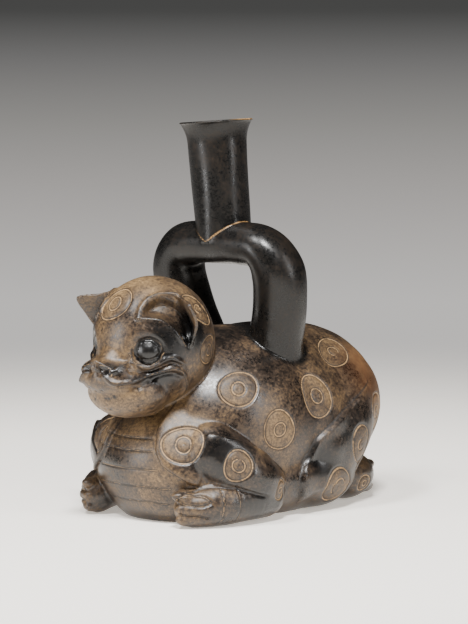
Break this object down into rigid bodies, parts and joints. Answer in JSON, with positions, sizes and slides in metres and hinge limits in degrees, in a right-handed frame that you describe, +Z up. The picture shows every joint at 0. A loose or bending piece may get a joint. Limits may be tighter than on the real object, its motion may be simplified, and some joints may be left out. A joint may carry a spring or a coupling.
{
  "type": "stirrup spout vessel",
  "caption": "Hollow earthenware stirrup spout vessel shaped as a crouching feline, with an arched tubular handle across its back and a flared spout.",
  "frame": {"origin": "on the ground, on the flat underside below the middle of the body", "axes": "+Z up, the animal faces -Y, its left flank is +X and the stirrup stands across its back along X"},
  "size_m": [0.136, 0.2292, 0.2365],
  "materials": {
    "clay": "burnished, with smoke-blackened patches"
  },
  "bodies": {
    "root": {"vessel": "clay"}
  },
  "joints": []
}
